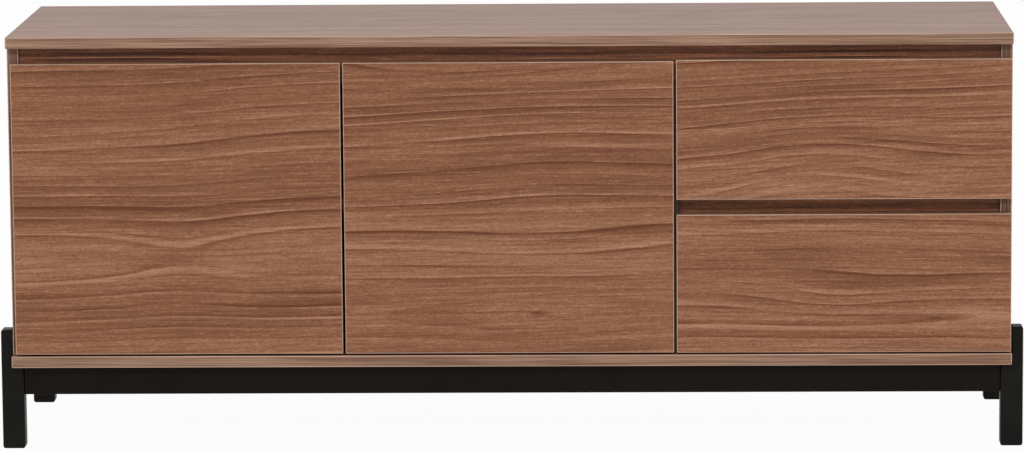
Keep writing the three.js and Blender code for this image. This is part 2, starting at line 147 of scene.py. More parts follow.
def buildWalnutGroup():
    inputs = {
        "At": (0.0, 0.0, 0.0), "Heart": 0.3, "Depth": 0.05, "Swing": 0.08, "Pinch": 0.0, "Pinch At": 0.0,
        "Pinch Width": 0.2, "Wave": 0.05, "Ripple": 0.006, "Density": 90.0, "Start": 0.0, "Lines": 0.6,
        "Seed": 0.0, "Dullness": 0.5,
        "Pale": (0.3, 0.2, 0.1, 1.0), "Middle": (0.2, 0.1, 0.05, 1.0), "Deep": (0.1, 0.05, 0.03, 1.0),
    }
    for spot in walnutSpots:
        inputs.update({spot: 0.0, spot + " At": (0.0, 0.0, 0.0), spot + " Size": (0.2, 0.1, 1.0)})
    tree, take, give = newGroup("walnutFigure", inputs,
                                {"Color": "Color", "Roughness": "Float", "Height": "Float"})
    at, seed = take["At"], take["Seed"]

    # most clouds shift the seed, so that they don't repeat each other
    def sown(later):
        return calc(tree, "ADD", seed, later)

    def drift(scale, later, detail):
        return calc(tree, "SUBTRACT", cloud(tree, at, scale, sown(later), detail), 0.5)

    # a soft spot: its amount in the middle, fading out over its size
    def near(spot):
        away = put(tree, "VectorMath", {0: at, 1: take[spot + " At"]}, operation="SUBTRACT").outputs[0]
        away = put(tree, "VectorMath", {0: away, 1: take[spot + " Size"]}, operation="DIVIDE").outputs[0]
        away = put(tree, "VectorMath", {0: away, 1: (1.0, 1.0, 0.0)}, operation="MULTIPLY").outputs[0]
        farness = put(tree, "VectorMath", {0: away, 1: away}, operation="DOT_PRODUCT").outputs["Value"]
        fading = calc(tree, "EXPONENT", calc(tree, "MULTIPLY", farness, -1.0))
        return calc(tree, "MULTIPLY", fading, take[spot])

    parts = put(tree, "SeparateXYZ", {0: at}).outputs
    offHeart = calc(tree, "SUBTRACT", parts[1], take["Heart"])
    offHeart = calc(tree, "MULTIPLY_ADD", drift(grain["wave"], 0.0, 1.5), take["Wave"], offHeart)
    for hill in walnutSpots[:3]:
        offHeart = calc(tree, "SUBTRACT", offHeart, near(hill))
    depth = calc(tree, "MULTIPLY_ADD", drift(grain["swing"], 3.7, 1.0), take["Swing"], take["Depth"])
    fromPinch = calc(tree, "SUBTRACT", parts[0], take["Pinch At"])
    fromPinch = calc(tree, "DIVIDE", fromPinch, take["Pinch Width"])
    closeness = calc(tree, "DIVIDE", 1.0, calc(tree, "MULTIPLY_ADD", fromPinch, fromPinch, 1.0))
    depth = calc(tree, "MULTIPLY_ADD", closeness, take["Pinch"], depth)
    reach = calc(tree, "MULTIPLY_ADD", offHeart, offHeart, calc(tree, "MULTIPLY", depth, depth))
    reach = calc(tree, "SQRT", reach)
    reach = calc(tree, "MULTIPLY_ADD", drift(grain["ripple"], 9.1, 2.0), take["Ripple"], reach)
    ring = calc(tree, "MULTIPLY_ADD", reach, take["Density"], take["Start"])
    # a run of narrow years follows a run of wide ones
    years = calc(tree, "SINE", calc(tree, "MULTIPLY_ADD", ring, 0.93, seed))
    ring = calc(tree, "MULTIPLY_ADD", years, grain["wideYears"], ring)

    # each year starts pale, darkens slowly and ends in a thin line, some years more than others
    def yearLines(count, later, plain):
        inRing = calc(tree, "FRACT", count)
        which = calc(tree, "MULTIPLY_ADD", calc(tree, "FLOOR", count), 2.4, sown(later))
        shade = calc(tree, "MULTIPLY_ADD", calc(tree, "SINE", which), 0.5, 0.5)
        slow = calc(tree, "MULTIPLY", calc(tree, "POWER", inRing, 2.0), 0.55)
        late = calc(tree, "MULTIPLY_ADD", spread(tree, inRing, 0.84, 0.95), 0.45, slow)
        late = calc(tree, "MULTIPLY", late, spread(tree, inRing, 0.95, 1.0, 1.0, 0.0))
        late = calc(tree, "SUBTRACT", late, spread(tree, inRing, 0.02, 0.30, 0.30, 0.0))
        return calc(tree, "MULTIPLY", late, calc(tree, "MULTIPLY_ADD", shade, 1.0 - plain, plain))

    # a value that changes from year to year, so that runs of years keep together
    def yearNoise(pace, later):
        along = calc(tree, "MULTIPLY_ADD", ring, pace, sown(later))
        noise = put(tree, "TexNoise", {"W": along, "Scale": 1.0, "Detail": 2.0}, noise_dimensions="1D")
        return noise.outputs[0]

    fade = spread(tree, cloud(tree, at, grain["fade"], sown(5.3), 1.0), 0.34, 0.62, 0.10, 1.0)
    line = calc(tree, "MULTIPLY", yearLines(ring, 0.0, 0.30), fade)
    fineLine = yearLines(calc(tree, "MULTIPLY", ring, grain["fineCount"]), 5.0, 0.0)
    line = calc(tree, "MULTIPLY_ADD", fineLine, grain["fineLines"], line)
    # the wood is calmer along the heart, where the saw runs flat with the rings
    calm = calc(tree, "DIVIDE", calc(tree, "ABSOLUTE", offHeart), reach)
    calm = spread(tree, calm, 0.0, 0.55, 0.75, 1.0)
    strongYears = spread(tree, yearNoise(0.31, 70.0), 0.40, 0.58, 0.45, 1.2)
    line = calc(tree, "MULTIPLY", line, calc(tree, "MULTIPLY", calm, strongYears))
    bands = yearNoise(0.23, 40.0)
    fibre = cloud(tree, at, grain["fibre"], seed, 2.0)
    patch = cloud(tree, at, grain["patch"], sown(21.0), 1.0)
    pores = spread(tree, cloud(tree, at, grain["pores"], seed, 0.0), 0.58, 0.70)
    flecks = spread(tree, cloud(tree, at, grain["flecks"], sown(31.0), 1.0), 0.54, 0.70)
    speck = cloud(tree, at, grain["speck"], sown(13.0), 1.0)
    # how dark the wood is, from pale early wood to the deep line that ends a year
    dark = calc(tree, "MULTIPLY_ADD", line, take["Lines"], grain["plainWood"])
    bandShare = calc(tree, "MULTIPLY", calm, grain["bandShare"])
    for source, share in ((bands, bandShare), (fibre, grain["fibreShare"]), (speck, grain["speckShare"]),
                          (patch, grain["patchShare"])):
        dark = calc(tree, "MULTIPLY_ADD", calc(tree, "SUBTRACT", source, 0.5), share, dark)
    dark = calc(tree, "MULTIPLY_ADD", pores, grain["poreShare"], dark)
    dark = calc(tree, "MULTIPLY_ADD", flecks, grain["fleckShare"], dark)
    dark = calc(tree, "MULTIPLY_ADD", near("Knot"), fibre, dark)
    # painted shade: darkens a wide place where shade falls; a negative amount paints light there
    dark = calc(tree, "ADD", dark, near("Shade"))
    base = mixColour(tree, spread(tree, dark, -0.15, 0.50), take["Pale"], take["Middle"])
    plug(tree, give["Color"], mixColour(tree, spread(tree, dark, 0.25, 0.95), base, take["Deep"]))
    plug(tree, give["Roughness"], calc(tree, "MULTIPLY_ADD", fibre, 0.16, take["Dullness"]))
    plug(tree, give["Height"], calc(tree, "MULTIPLY_ADD", pores, -0.6, fibre))
    return tree


# fine streaks along X, for edge bands, printed board and brushed metal
def buildStreakGroup():
    tree, take, give = newGroup("fineStreaks", {
        "At": (0.0, 0.0, 0.0), "Length": 9.0, "Fineness": 900.0, "Seed": 0.0,
        "Pale": (0.3, 0.2, 0.1, 1.0), "Deep": (0.2, 0.1, 0.05, 1.0),
    }, {"Color": "Color", "Streak": "Float", "Height": "Float"})
    slim = put(tree, "CombineXYZ", {0: take["Length"], 1: take["Fineness"], 2: take["Fineness"]}).outputs[0]
    fine = cloud(tree, take["At"], slim, take["Seed"], 2.0)
    broadSize = put(tree, "VectorMath", {0: slim, 1: (0.6, 0.22, 0.22)}, operation="MULTIPLY").outputs[0]
    broad = cloud(tree, take["At"], broadSize, calc(tree, "ADD", take["Seed"], 8.0), 1.0)
    mixed = calc(tree, "MULTIPLY_ADD", broad, 0.20, calc(tree, "MULTIPLY", fine, 0.80))
    streak = spread(tree, mixed, 0.34, 0.66)
    plug(tree, give["Color"], mixColour(tree, streak, take["Pale"], take["Deep"]))
    plug(tree, give["Streak"], streak)
    plug(tree, give["Height"], fine)
    return tree


# soft blotches and specks: lacquer, melamine and moulded plastic
def buildMottleGroup():
    tree, take, give = newGroup("mottle", {
        "At": (0.0, 0.0, 0.0), "Size": 60.0, "Grain": 1400.0, "Seed": 0.0,
        "Plain": (0.5, 0.5, 0.5, 1.0), "Rubbed": (0.6, 0.6, 0.6, 1.0),
    }, {"Color": "Color", "Mask": "Float", "Height": "Float"})
    wide = put(tree, "CombineXYZ", {0: take["Size"], 1: take["Size"], 2: take["Size"]}).outputs[0]
    tight = put(tree, "CombineXYZ", {0: take["Grain"], 1: take["Grain"], 2: take["Grain"]}).outputs[0]
    blotch = cloud(tree, take["At"], wide, take["Seed"], 4.0)
    speck = cloud(tree, take["At"], tight, take["Seed"], 1.0)
    both = calc(tree, "MULTIPLY_ADD", speck, 0.4, calc(tree, "MULTIPLY", blotch, 0.6))
    mask = spread(tree, both, 0.36, 0.66)
    plug(tree, give["Color"], mixColour(tree, mask, take["Plain"], take["Rubbed"]))
    plug(tree, give["Mask"], mask)
    plug(tree, give["Height"], both)
    return tree


walnutFigure = buildWalnutGroup()
fineStreaks = buildStreakGroup()
mottle = buildMottleGroup()

# how the pattern lies on a piece: turns that bring its grain to X and the width of its face to Y
lies = {
    "acrossFront": (-quarterTurn, 0.0, 0.0),
    "acrossTop": (0.0, 0.0, 0.0),
    "upright": (0.0, quarterTurn, 0.0),
    "frontToBack": (0.0, 0.0, -quarterTurn),
}


def newFinish(name, lie="acrossTop", tilt=0.0):
    material = bpy.data.materials.new(name)
    material.use_nodes = True
    tree = material.node_tree
    place = put(tree, "TexCoord").outputs["Object"]
    rotation = Vector(lies[lie]) + Vector((0.0, 0.0, math.radians(tilt)))
    turned = put(tree, "Mapping", {"Vector": place, "Rotation": rotation}, vector_type="POINT")
    return material, tree, tree.nodes["Principled BSDF"], turned.outputs[0]


bumpDepths = {"walnut": 0.3 * mm, "band": 0.2 * mm, "mottle": 0.2 * mm, "brushed": 0.1 * mm}


def roughen(tree, shader, height, strength, distance):
    bump = put(tree, "Bump", {"Height": height, "Strength": strength, "Distance": distance})
    plug(tree, shader.inputs["Normal"], bump.outputs[0])


walnut = {
    "pale": tint(177, 131, 102),
    "middle": tint(139, 92, 64),
    "deep": tint(98, 54, 28),
    "specular": 0.22,
    "dullness": 0.48,
    "bump": 0.12,
}


def walnutFinish(name, figure, lie, pale=None, middle=None, deep=None):
    material, tree, shader, at = newFinish(name, lie, figure["tilt"])
    spots = {}
    for spot, (amount, place, size) in figure.get("spots", {}).items():
        spots.update({spot: amount, spot + " At": (*place, 0.0), spot + " Size": (*size, 1.0)})
    outs = useGroup(tree, walnutFigure, {
        "At": at, "Heart": figure["heart"], "Depth": figure["depth"], "Swing": figure["swing"],
        "Pinch": figure["pinch"][0], "Pinch At": figure["pinch"][1], "Pinch Width": figure["pinch"][2],
        "Wave": figure["wave"], "Ripple": figure["ripple"], "Density": figure["density"],
        "Start": figure["start"], "Lines": figure["lines"], "Seed": figure["seed"],
        "Dullness": figure.get("dullness", walnut["dullness"]), "Pale": pale or walnut["pale"],
        "Middle": middle or walnut["middle"], "Deep": deep or walnut["deep"],
        **spots,
    })
    plug(tree, shader.inputs["Base Color"], outs["Color"])
    plug(tree, shader.inputs["Roughness"], outs["Roughness"])
    shader.inputs["Specular IOR Level"].default_value = figure.get("specular", walnut["specular"])
    roughen(tree, shader, outs["Height"], walnut["bump"], bumpDepths["walnut"])
    return material


band = {
    "pale": tint(166, 133, 111),
    "deep": tint(118, 85, 66),
    # the arris colours are paler copies of the band, a painted highlight on the eased edges
    "arrisHighlightPale": tint(207, 176, 155),
    "arrisHighlightDeep": tint(180, 146, 125),
    # the side boards' edge band is a darker copy of the band, as painted shade for the gaps where their front
    # edges show
    "sidePale": tint(136, 102, 86),
    "sideShadeDeep": tint(82, 56, 45),
    # the divider's edge band is darker still, as painted shade for the dark gaps where its front edge shows
    "dividerShadePale": tint(84, 60, 50),
    "dividerShadeDeep": tint(54, 36, 29),
    "length": 7.0,
    "fineness": 540.0,
    "specular": 0.15,
    "rough": (0.40, 0.52),
    "bump": 0.08,
}


def bandFinish(name, lie, pale, deep, seed):
    material, tree, shader, at = newFinish(name, lie)
    outs = useGroup(tree, fineStreaks, {"At": at, "Length": band["length"], "Fineness": band["fineness"],
                                        "Seed": seed, "Pale": pale, "Deep": deep})
    plug(tree, shader.inputs["Base Color"], outs["Color"])
    plug(tree, shader.inputs["Roughness"], spread(tree, outs["Streak"], 0.0, 1.0, *band["rough"]))
    shader.inputs["Specular IOR Level"].default_value = band["specular"]
    roughen(tree, shader, outs["Height"], band["bump"], bumpDepths["band"])
    return material


def mottleFinish(name, look):
    material, tree, shader, at = newFinish(name)
    outs = useGroup(tree, mottle, {"At": at, "Size": look["size"], "Grain": look["grain"],
                                   "Seed": look["seed"], "Plain": look["plain"], "Rubbed": look["rubbed"]})
    plug(tree, shader.inputs["Base Color"], outs["Color"])
    plug(tree, shader.inputs["Roughness"], spread(tree, outs["Mask"], 0.0, 1.0, *look["rough"]))
    shader.inputs["Metallic"].default_value = look.get("metal", 0.0)
    shader.inputs["Specular IOR Level"].default_value = look.get("specular", 0.5)
    roughen(tree, shader, outs["Height"], look["bump"], bumpDepths["mottle"])
    return material


def brushedFinish(name, look, lie):
    material, tree, shader, at = newFinish(name, lie)
    outs = useGroup(tree, fineStreaks, {"At": at, "Length": look["length"], "Fineness": look["fineness"],
                                        "Seed": look["seed"], "Pale": look["pale"], "Deep": look["deep"]})
    plug(tree, shader.inputs["Base Color"], outs["Color"])
    plug(tree, shader.inputs["Roughness"], spread(tree, outs["Streak"], 0.0, 1.0, *look["rough"]))
    shader.inputs["Metallic"].default_value = look["metal"]
    roughen(tree, shader, outs["Height"], look["bump"], bumpDepths["brushed"])
    return material


# the faces of the boards, one figure for each board that shows; pinch is its amount, place and width,
# and a spot is its amount, place and size
frontFigure = {"swing": 0.0, "wave": 0.018, "ripple": 0.004, "lines": 0.92}
plainFigure = {"swing": 0.020, "pinch": (0.0, 0.0, 0.2), "start": 0.0, "tilt": 0.0}
railFigure = {**plainFigure, "heart": 0.500, "depth": 0.080, "wave": 0.020, "ripple": 0.005}
figures = {
    # each front's painted shade spot darkens a wide place, mostly its upper part, as painted shade for how
    # the light falls on it
    "leftDoor": {**frontFigure, "heart": 0.317, "depth": 0.006, "pinch": (0.032, -0.51, 0.15),
                 "density": 50.0, "start": 0.0, "seed": 1.4, "tilt": -1.0,
                 "spots": {"Hill 1": (0.012, (-0.30, 0.52), (0.20, 0.16)),
                           "Hill 2": (-0.012, (-0.76, 0.50), (0.20, 0.03)),
                           "Shade": (0.12, (-0.50, 0.52), (0.60, 0.28))}},
    "rightDoor": {**frontFigure, "heart": 0.215, "depth": 0.080, "pinch": (-0.008, 0.05, 0.12),
                  "density": 58.0, "start": 0.05, "seed": 1.6, "tilt": -1.2,
                  "spots": {"Hill 1": (0.016, (0.10, 0.46), (0.22, 0.10)),
                            "Hill 2": (-0.024, (0.06, 0.315), (0.16, 0.05)),
                            "Hill 3": (-0.050, (-0.05, 0.605), (0.24, 0.035)),
                            "Knot": (1.0, (0.05, 0.215), (0.014, 0.0035)),
                            "Shade": (0.16, (0.0, 0.55), (0.50, 0.16))}},
    "upperDrawer": {**frontFigure, "heart": 0.330, "depth": 0.040, "pinch": (0.0, 0.50, 0.20),
                    "density": 78.0, "start": 0.20, "seed": 2.6, "tilt": -2.8,
                    "spots": {"Hill 1": (0.036, (0.49, 0.425), (0.17, 0.08)),
                              "Hill 2": (0.010, (0.30, 0.43), (0.06, 0.03)),
                              "Shade": (0.12, (0.40, 0.55), (0.50, 0.14))}},
    "lowerDrawer": {**frontFigure, "heart": 0.216, "depth": 0.024, "pinch": (0.018, 1.02, 0.20),
                    "density": 52.0, "start": 0.65, "seed": 3.6, "tilt": 0.8,
                    "spots": {"Hill 1": (-0.015, (0.62, 0.273), (0.19, 0.03)),
                              "Hill 2": (0.015, (0.62, 0.334), (0.29, 0.076)),
                              "Hill 3": (-0.018, (0.50, 0.242), (0.12, 0.03)),
                              "Shade": (0.10, (0.45, 0.34), (0.50, 0.07))}},
    "flatBoards": {**plainFigure, "heart": 0.060, "depth": 0.080, "wave": 0.040, "ripple": 0.006,
                   "density": 72.0, "lines": 1.40, "seed": 23.1, "dullness": 0.33, "specular": 0.32},
    "sideBoards": {**plainFigure, "heart": 0.020, "depth": 0.040, "pinch": (0.03, 0.35, 0.2),
                   "wave": 0.030, "ripple": 0.006, "density": 54.0, "lines": 1.00, "seed": 29.6, "tilt": 0.6},
    "topRail": {**railFigure, "density": 150.0, "lines": 1.50, "seed": 34.2},
    "drawerRail": {**railFigure, "density": 90.0, "lines": 0.70, "seed": 37.2,
                   # the drawer rail's painted shade is negative: painted light on the rail in its shaded gap
                   "spots": {"Shade": (-0.10, (0.50, 0.38), (0.60, 0.10))}},
    "back": {**plainFigure, "heart": 0.380, "depth": 0.060, "swing": 0.030, "wave": 0.040, "ripple": 0.005,
             "density": 44.0, "lines": 0.50, "seed": 41.8},
}
flatTones = {"pale": tint(178, 133, 108), "middle": tint(132, 90, 67), "deep": tint(82, 46, 30)}
# the finger rails get darker copies of the walnut tones, as painted shade for the shadowed gaps they stand in
railShadeTones = {"pale": tint(166, 110, 78), "middle": tint(122, 73, 47), "deep": tint(58, 27, 15)}
backTones = {"pale": tint(150, 118, 96), "middle": tint(128, 95, 75), "deep": tint(100, 70, 53)}

finish = {key: walnutFinish("walnut_" + key, figures[key], "acrossFront")
          for key in ("leftDoor", "rightDoor", "upperDrawer", "lowerDrawer")}
finish["flat"] = walnutFinish("walnut_flatBoards", figures["flatBoards"], "acrossTop", **flatTones)
finish["side"] = walnutFinish("walnut_sideBoards", figures["sideBoards"], "upright")
finish["topRail"] = walnutFinish("walnut_topRail", figures["topRail"], "acrossFront", **railShadeTones)
finish["drawerRail"] = walnutFinish("walnut_drawerRail", figures["drawerRail"], "acrossFront", **railShadeTones)
finish["back"] = walnutFinish("walnut_back", figures["back"], "acrossFront", **backTones)
bandLies = ("acrossTop", "frontToBack", "upright")
bandFinishes = [bandFinish("edgeBand_" + lie, lie, band["pale"], band["deep"], 3.0 + i)
                for i, lie in enumerate(bandLies)]
arrisHighlightFinish = bandFinish("edgeBand_arrisHighlight", "acrossTop", band["arrisHighlightPale"], band["arrisHighlightDeep"], 9.0)
sideShadedBand = bandFinish("edgeBand_sidesShaded", "upright", band["sidePale"], band["sideShadeDeep"], 7.0)
dividerShadedBand = bandFinish("edgeBand_dividerShaded", "upright", band["dividerShadePale"], band["dividerShadeDeep"], 8.0)

looks = {
    "blackLacquer": {"plain": tint(13, 9, 5), "rubbed": tint(20, 15, 10), "size": 24.0, "grain": 900.0,
                     "rough": (0.36, 0.52), "bump": 0.10, "specular": 0.07, "seed": 1.5},
    "legLacquer": {"plain": tint(17, 15, 12), "rubbed": tint(26, 24, 19), "size": 24.0, "grain": 900.0,
                   "rough": (0.36, 0.52), "bump": 0.10, "specular": 0.07, "seed": 2.5},
    "paleMelamine": {"plain": tint(207, 203, 195), "rubbed": tint(198, 193, 184), "size": 14.0,
                     "grain": 1700.0, "rough": (0.45, 0.58), "bump": 0.10, "seed": 4.5},
    "chipboard": {"plain": tint(178, 148, 112), "rubbed": tint(128, 98, 68), "size": 420.0,
                  "grain": 1500.0, "rough": (0.75, 0.92), "bump": 0.55, "seed": 6.5},
    "greyPlastic": {"plain": tint(150, 148, 143), "rubbed": tint(132, 130, 126), "size": 140.0,
                    "grain": 3200.0, "rough": (0.38, 0.52), "bump": 0.06, "seed": 8.5},
    "brownPlastic": {"plain": tint(118, 80, 60), "rubbed": tint(100, 66, 48), "size": 160.0,
                     "grain": 3000.0, "rough": (0.40, 0.55), "bump": 0.06, "seed": 11.5},
    "blackSteel": {"plain": tint(44, 43, 42), "rubbed": tint(66, 64, 62), "size": 210.0, "grain": 2600.0,
                   "rough": (0.30, 0.46), "bump": 0.08, "metal": 0.6, "seed": 13.5},
}
for key, look in looks.items():
    finish[key] = mottleFinish(key, look)
metals = {
    "nickel": {"pale": tint(226, 223, 217), "deep": tint(200, 197, 190), "length": 60.0, "fineness": 1500.0,
               "rough": (0.34, 0.48), "bump": 0.05, "metal": 0.7, "seed": 15.5},
    "zinc": {"pale": tint(190, 194, 197), "deep": tint(148, 152, 156), "length": 26.0, "fineness": 1100.0,
             "rough": (0.28, 0.44), "bump": 0.06, "metal": 1.0, "seed": 18.5},
}
finish["nickel"] = brushedFinish("nickel", metals["nickel"], "upright")
finish["zinc"] = brushedFinish("zinc", metals["zinc"], "frontToBack")
print("finishes made:", len(bpy.data.materials))


# pieces
def newPiece(name, bm, materials, body, nodes=()):
    bmesh.ops.recalc_face_normals(bm, faces=bm.faces)
    mesh = bpy.data.meshes.new(name)
    bm.to_mesh(mesh)
    bm.free()
    for material in materials:
        mesh.materials.append(material)
    piece = bpy.data.objects.new(name, mesh)
    bpy.context.scene.collection.objects.link(piece)
    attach(piece, body)
    if nodes:
        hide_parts(*nodes)
    return piece


def addBlock(bm, low, high):
    made = bmesh.ops.create_cube(bm, size=1.0)["verts"]
    low, high = Vector(low), Vector(high)
    bmesh.ops.scale(bm, vec=high - low, verts=made)
    bmesh.ops.translate(bm, vec=(low + high) / 2, verts=made)
    return made


def roundEdges(bm, edges, offset, segments):
    return bmesh.ops.bevel(bm, geom=list(edges), offset=offset, offset_type="OFFSET", segments=segments,
                           profile=0.5, affect="EDGES", clamp_overlap=True, material=-1)["faces"]


edgeSteps = 3  # how round an eased edge is
flatFacing = 0.9999  # a face this square to an axis is flat
downFacing = -0.2  # a face that looks down more than this belongs to the foot


# a board's faces: 0 the two wide faces, 1 the arrises with their painted highlight, 2 to 4 the edge bands by
# the way they run
def dressBoard(bm, thinAxis, noHighlightBelow):
    for face in bm.faces:
        sizes = [abs(n) for n in face.normal]
        flat = max(sizes) > flatFacing
        face.smooth = not flat
        if flat and sizes.index(max(sizes)) == thinAxis:
            face.material_index = 0
            continue
        sizes[thinAxis] = 0.0
        runs = 2 + 3 - sizes.index(max(sizes)) - thinAxis
        # arrises that look down, where the board asks for it, keep the band colour and so get no painted
        # highlight
        face.material_index = runs if flat or (noHighlightBelow and face.normal.z < downFacing) else 1


def boardPiece(name, node, face, body, arris, thinAxis, upright=None, noHighlightBelow=False):
    bm = bmesh.new()
    addBlock(bm, *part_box(node))
    roundEdges(bm, bm.edges, arris, edgeSteps)
    bm.normal_update()
    dressBoard(bm, thinAxis, noHighlightBelow)
    materials = [face, arrisHighlightFinish, *bandFinishes[:2], upright or bandFinishes[2]]
    return newPiece(name, bm, materials, body, (node,))


# a finger rail is veneered all round, with its long edges eased
def railPiece(name, node, face, arris):
    bm = bmesh.new()
    addBlock(bm, *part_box(node))
    long = [e for e in bm.edges if abs(e.verts[0].co.x - e.verts[1].co.x) > arris]
    for eased in roundEdges(bm, long, arris, edgeSteps):
        eased.smooth = True
    return newPiece(name, bm, [face], "carcass", (node,))


# cuts one mesh out of another and leaves a plain mesh, with the bare core of the board on the cut
def cutAway(piece, cutterMesh, coreFinish):
    piece.data.materials.append(coreFinish)
    core = len(piece.data.materials) - 1
    for face in cutterMesh.faces:
        face.material_index = core
    cutter = bpy.data.meshes.new("cutter")
    cutterMesh.to_mesh(cutter)
    cutterMesh.free()
    for material in piece.data.materials:
        cutter.materials.append(material)
    tool = bpy.data.objects.new("cutter", cutter)
    bpy.context.scene.collection.objects.link(tool)
    cut = piece.modifiers.new("cut", "BOOLEAN")
    cut.object = tool
    cut.operation = "DIFFERENCE"
    cut.solver = "EXACT"
    cut.material_mode = "INDEX"
    made = bpy.data.meshes.new_from_object(piece.evaluated_get(bpy.context.evaluated_depsgraph_get()))
    piece.modifiers.clear()
    old = piece.data
    piece.data = made
    bpy.data.objects.remove(tool)
    bpy.data.meshes.remove(cutter)
    bpy.data.meshes.remove(old)
    made.name = piece.name


def addRod(bm, start, along, length, radius, sides):
    turn = Vector((0, 0, 1)).rotation_difference(Vector(along)).to_matrix().to_4x4()
    place = Matrix.Translation(Vector(start) + Vector(along) * length / 2) @ turn
    return bmesh.ops.create_cone(bm, cap_ends=True, segments=sides, radius1=radius, radius2=radius,
                                 depth=length, matrix=place)["verts"]


# cabinet boards
cabinet = {
    "arris": 1.4 * mm,
    "boards": (
        ("topBoard", "top_panel", "flat", 2, bandFinishes[2]),
        ("bottomBoard", "bottom_panel", "flat", 2, bandFinishes[2]),
        ("leftSideBoard", "left_side_panel", "side", 0, sideShadedBand),
        ("rightSideBoard", "right_side_panel", "side", 0, sideShadedBand),
        ("dividerBoard", "bay_divider", "side", 0, dividerShadedBand),
        ("shelfBoard", "door_bay_shelf", "flat", 2, bandFinishes[2]),
    ),
    "rails": (("topFingerRail", "top_finger_rail", "topRail"),
              ("drawerFingerRail", "drawer_finger_rail", "drawerRail")),
    "pinHole": 2.65 * mm,
    "pinHoleDepth": 9 * mm,
    "pinHoleSides": 20,
    "pinRows": (-1, 0, 1),
    "pinPitch": 32 * mm,
    "notchGap": 0.2 * mm,
    "cutPast": 20 * mm,  # how far the notch's cutter stands out of the board
}
boards = {}
for name, node, face, thinAxis, upright in cabinet["boards"]:
    boards[name] = boardPiece(name, node, finish[face], "carcass", cabinet["arris"],
                              thinAxis, upright, name == "topBoard")
for name, node, face in cabinet["rails"]:
    boards[name] = railPiece(name, node, finish[face], cabinet["arris"])
# the divider's arrises take this painted shade too, in place of the painted highlight
boards["dividerBoard"].data.materials[1] = dividerShadedBand  # its arrises are as dark as its edge


def pinHoleCutter(pins, away):
    bm = bmesh.new()
    depth = cabinet["pinHoleDepth"]
    for pin in pins:
        low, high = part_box(pin)
        middle = (low + high) / 2
        face = low.x + depth if away < 0 else high.x - depth
        for row in cabinet["pinRows"]:
            start = (face - away * depth, middle.y, middle.z + row * cabinet["pinPitch"])
            addRod(bm, start, (away, 0, 0), 2 * depth, cabinet["pinHole"], cabinet["pinHoleSides"])
    return bm


cutAway(boards["leftSideBoard"], pinHoleCutter(("shelf_pin_front_left", "shelf_pin_rear_left"), -1),
        finish["chipboard"])
dividerCut = pinHoleCutter(("shelf_pin_front_right", "shelf_pin_rear_right"), 1)
railLow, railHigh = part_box("top_finger_rail")
dividerLow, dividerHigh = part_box("bay_divider")
past = cabinet["cutPast"]
addBlock(dividerCut, (dividerLow.x - past, dividerLow.y - past, railLow.z - cabinet["notchGap"]),
         (dividerHigh.x + past, railHigh.y + cabinet["notchGap"], dividerHigh.z + past))
cutAway(boards["dividerBoard"], dividerCut, finish["chipboard"])

backBoard = {"arris": 0.5 * mm}
boardPiece("backBoard", "back_panel", finish["back"], "carcass", backBoard["arris"], 1)
print("cabinet boards:", len(boards) + 1)

# door and drawer fronts
fronts = {
    "arris": 1.2 * mm,
    "cupHole": 17.5 * mm,
    "cupHoleDepth": 13.5 * mm,
    "cupHoleSides": 48,
    "pieces": (
        ("leftDoorPanel", "left_door", "leftDoor", "left_door"),
        ("rightDoorPanel", "right_door", "rightDoor", "right_door"),
        ("upperDrawerFront", "upper_drawer_front", "upperDrawer", "upper_drawer"),
        ("lowerDrawerFront", "lower_drawer_front", "lowerDrawer", "lower_drawer"),
    ),
}
for name, node, face, body in fronts["pieces"]:
    front = boardPiece(name, node, finish[face], body, fronts["arris"], 1)
    if node.endswith("door"):
        holes = bmesh.new()
        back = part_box(node)[1].y
        for level in ("lower", "upper"):
            low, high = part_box(node + "_" + level + "_hinge_cup")
            middle = (low + high) / 2
            addRod(holes, (middle.x, back - fronts["cupHoleDepth"], middle.z), (0, 1, 0),
                   2 * fronts["cupHoleDepth"], fronts["cupHole"], fronts["cupHoleSides"])
        cutAway(front, holes, finish["chipboard"])
print("fronts:", len(fronts["pieces"]))


def pushOut(bm, face, way):
    made = bmesh.ops.extrude_face_region(bm, geom=[face])["geom"]
    bmesh.ops.translate(bm, vec=way, verts=[v for v in made if isinstance(v, bmesh.types.BMVert)])


